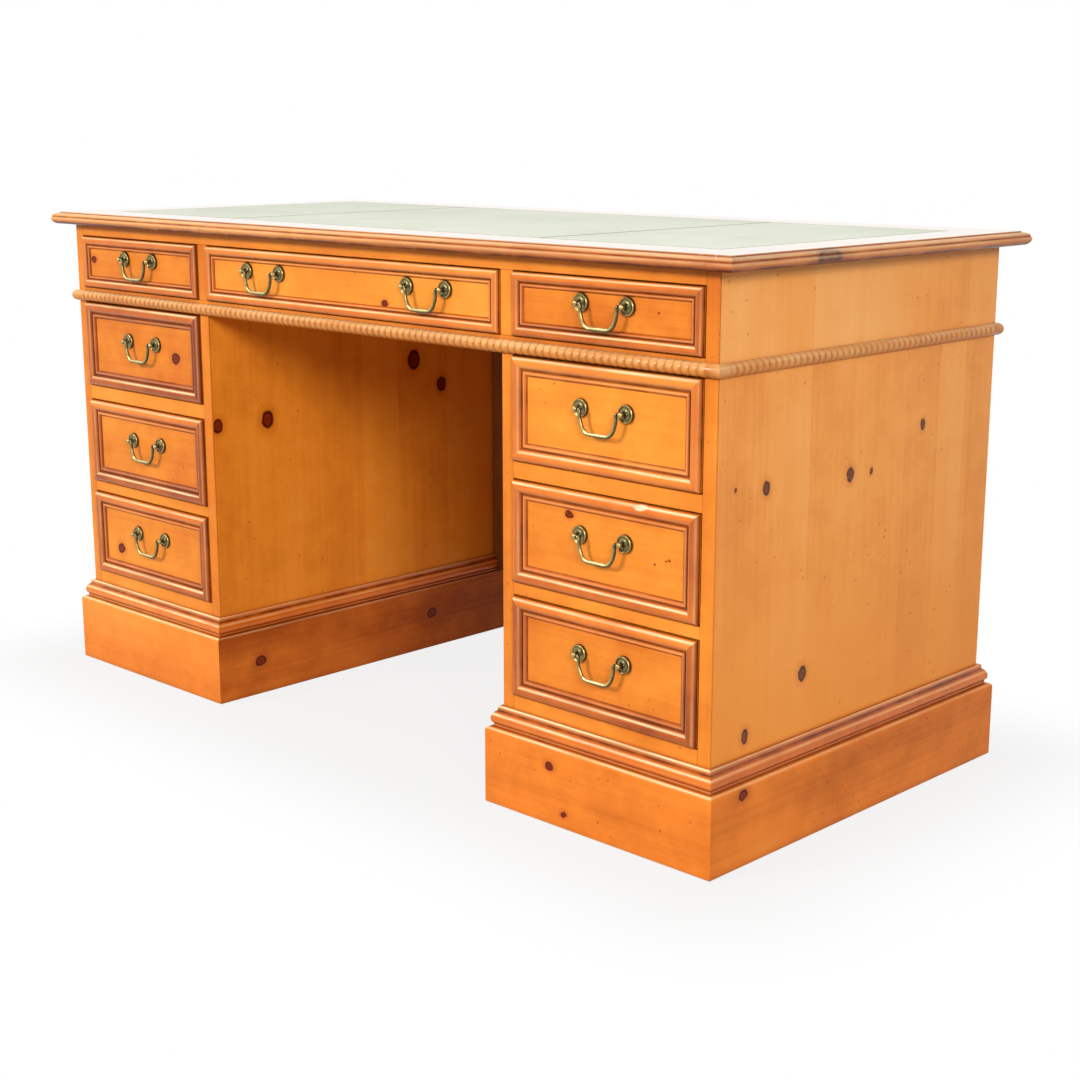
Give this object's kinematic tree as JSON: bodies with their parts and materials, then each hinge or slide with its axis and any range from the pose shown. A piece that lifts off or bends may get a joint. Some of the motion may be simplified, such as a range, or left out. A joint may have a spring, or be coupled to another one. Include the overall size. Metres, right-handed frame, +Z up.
{
  "type": "kneehole pedestal desk",
  "caption": "Pine kneehole desk with a leather-lined top, frieze drawers over two pedestals of drawers on moulded plinths, and swan-neck bail pulls.",
  "frame": {"origin": "on the floor under the middle of the desk", "axes": "+X to the right along the drawer side, +Y to the back, +Z up; the drawers open towards -Y"},
  "size_m": [1.43, 0.664, 0.762],
  "materials": {
    "pine_case": "honey-stained knotty pine, satin-gloss lacquer",
    "pine_top": "honey-stained pine border, satin-gloss lacquer",
    "pine_front": "golden honey-stained pine, glaze in the quirks",
    "pine_moulding": "stained pine moulding, worn at the arrises",
    "pine_inside": "bare planed pine",
    "drawer_lining": "bare planed pine",
    "desk_leather": "pale sage hide, satin",
    "antique_brass": "darkened cast brass, rubbed bright on the high spots"
  },
  "bodies": {
    "desk": {"top_border": "pine_top", "top_panel": "pine_inside", "leather_panels": "desk_leather", "frieze_ends": "pine_case", "frieze_back": "pine_case", "frieze_rails": "pine_case", "frieze_dividers": "pine_case", "frieze_runners_and_kickers": "pine_inside", "waist_bead": "pine_moulding", "left_pedestal_outer_side": "pine_case", "left_pedestal_inner_side": "pine_case", "left_pedestal_rails": "pine_case", "left_plinth": "pine_case", "right_pedestal_outer_side": "pine_case", "right_pedestal_inner_side": "pine_case", "right_pedestal_rails": "pine_case", "right_plinth": "pine_case", "pedestal_backs": "pine_case", "pedestal_bottoms": "pine_inside", "pedestal_drawer_runners": "pine_inside", "plinth_mouldings": "pine_moulding", "plinth_corner_blocks": "pine_inside", "modesty_panel": "pine_case"},
    "frieze_centre_drawer": {"frieze_centre_drawer_front": "pine_front", "frieze_centre_drawer_box": "drawer_lining", "frieze_centre_drawer_pull_posts": "antique_brass"},
    "frieze_centre_drawer_left_bail": {"frieze_centre_drawer_left_bail": "antique_brass"},
    "frieze_centre_drawer_right_bail": {"frieze_centre_drawer_right_bail": "antique_brass"},
    "frieze_left_drawer": {"frieze_left_drawer_front": "pine_front", "frieze_left_drawer_box": "drawer_lining", "frieze_left_drawer_pull_posts": "antique_brass"},
    "frieze_left_drawer_bail": {"frieze_left_drawer_bail": "antique_brass"},
    "left_upper_drawer": {"left_upper_drawer_front": "pine_front", "left_upper_drawer_box": "drawer_lining", "left_upper_drawer_pull_posts": "antique_brass"},
    "left_upper_drawer_bail": {"left_upper_drawer_bail": "antique_brass"},
    "left_middle_drawer": {"left_middle_drawer_front": "pine_front", "left_middle_drawer_box": "drawer_lining", "left_middle_drawer_pull_posts": "antique_brass"},
    "left_middle_drawer_bail": {"left_middle_drawer_bail": "antique_brass"},
    "left_lower_drawer": {"left_lower_drawer_front": "pine_front", "left_lower_drawer_box": "drawer_lining", "left_lower_drawer_pull_posts": "antique_brass"},
    "left_lower_drawer_bail": {"left_lower_drawer_bail": "antique_brass"},
    "frieze_right_drawer": {"frieze_right_drawer_front": "pine_front", "frieze_right_drawer_box": "drawer_lining", "frieze_right_drawer_pull_posts": "antique_brass"},
    "frieze_right_drawer_bail": {"frieze_right_drawer_bail": "antique_brass"},
    "right_upper_drawer": {"right_upper_drawer_front": "pine_front", "right_upper_drawer_box": "drawer_lining", "right_upper_drawer_pull_posts": "antique_brass"},
    "right_upper_drawer_bail": {"right_upper_drawer_bail": "antique_brass"},
    "right_middle_drawer": {"right_middle_drawer_front": "pine_front", "right_middle_drawer_box": "drawer_lining", "right_middle_drawer_pull_posts": "antique_brass"},
    "right_middle_drawer_bail": {"right_middle_drawer_bail": "antique_brass"},
    "right_lower_drawer": {"right_lower_drawer_front": "pine_front", "right_lower_drawer_box": "drawer_lining", "right_lower_drawer_pull_posts": "antique_brass"},
    "right_lower_drawer_bail": {"right_lower_drawer_bail": "antique_brass"}
  },
  "joints": [
    {"name": "frieze_centre_drawer_slide", "type": "slide", "parent": "desk", "child": "frieze_centre_drawer", "axis": [0, -1, 0], "range_m": [0, 0.4]},
    {"name": "frieze_centre_drawer_left_bail_swing", "type": "hinge", "parent": "frieze_centre_drawer", "child": "frieze_centre_drawer_left_bail", "pos_m": [-0.1775, -0.32, 0.6918], "axis": [-1, 0, 0], "range_deg": [-12, 90]},
    {"name": "frieze_centre_drawer_right_bail_swing", "type": "hinge", "parent": "frieze_centre_drawer", "child": "frieze_centre_drawer_right_bail", "pos_m": [0.1775, -0.32, 0.6918], "axis": [-1, 0, 0], "range_deg": [-12, 90]},
    {"name": "frieze_left_drawer_slide", "type": "slide", "parent": "desk", "child": "frieze_left_drawer", "axis": [0, -1, 0], "range_m": [0, 0.4]},
    {"name": "frieze_left_drawer_bail_swing", "type": "hinge", "parent": "frieze_left_drawer", "child": "frieze_left_drawer_bail", "pos_m": [-0.5, -0.32, 0.6918], "axis": [-1, 0, 0], "range_deg": [-12, 90]},
    {"name": "left_upper_drawer_slide", "type": "slide", "parent": "desk", "child": "left_upper_drawer", "axis": [0, -1, 0], "range_m": [0, 0.4]},
    {"name": "left_upper_drawer_bail_swing", "type": "hinge", "parent": "left_upper_drawer", "child": "left_upper_drawer_bail", "pos_m": [-0.5, -0.32, 0.5605], "axis": [-1, 0, 0], "range_deg": [-12, 90]},
    {"name": "left_middle_drawer_slide", "type": "slide", "parent": "desk", "child": "left_middle_drawer", "axis": [0, -1, 0], "range_m": [0, 0.4]},
    {"name": "left_middle_drawer_bail_swing", "type": "hinge", "parent": "left_middle_drawer", "child": "left_middle_drawer_bail", "pos_m": [-0.5, -0.32, 0.3975], "axis": [-1, 0, 0], "range_deg": [-12, 90]},
    {"name": "left_lower_drawer_slide", "type": "slide", "parent": "desk", "child": "left_lower_drawer", "axis": [0, -1, 0], "range_m": [0, 0.4]},
    {"name": "left_lower_drawer_bail_swing", "type": "hinge", "parent": "left_lower_drawer", "child": "left_lower_drawer_bail", "pos_m": [-0.5, -0.32, 0.2405], "axis": [-1, 0, 0], "range_deg": [-12, 90]},
    {"name": "frieze_right_drawer_slide", "type": "slide", "parent": "desk", "child": "frieze_right_drawer", "axis": [0, -1, 0], "range_m": [0, 0.4]},
    {"name": "frieze_right_drawer_bail_swing", "type": "hinge", "parent": "frieze_right_drawer", "child": "frieze_right_drawer_bail", "pos_m": [0.5, -0.32, 0.6918], "axis": [-1, 0, 0], "range_deg": [-12, 90]},
    {"name": "right_upper_drawer_slide", "type": "slide", "parent": "desk", "child": "right_upper_drawer", "axis": [0, -1, 0], "range_m": [0, 0.4]},
    {"name": "right_upper_drawer_bail_swing", "type": "hinge", "parent": "right_upper_drawer", "child": "right_upper_drawer_bail", "pos_m": [0.5, -0.32, 0.5605], "axis": [-1, 0, 0], "range_deg": [-12, 90]},
    {"name": "right_middle_drawer_slide", "type": "slide", "parent": "desk", "child": "right_middle_drawer", "axis": [0, -1, 0], "range_m": [0, 0.4]},
    {"name": "right_middle_drawer_bail_swing", "type": "hinge", "parent": "right_middle_drawer", "child": "right_middle_drawer_bail", "pos_m": [0.5, -0.32, 0.3975], "axis": [-1, 0, 0], "range_deg": [-12, 90]},
    {"name": "right_lower_drawer_slide", "type": "slide", "parent": "desk", "child": "right_lower_drawer", "axis": [0, -1, 0], "range_m": [0, 0.4]},
    {"name": "right_lower_drawer_bail_swing", "type": "hinge", "parent": "right_lower_drawer", "child": "right_lower_drawer_bail", "pos_m": [0.5, -0.32, 0.2405], "axis": [-1, 0, 0], "range_deg": [-12, 90]}
  ]
}
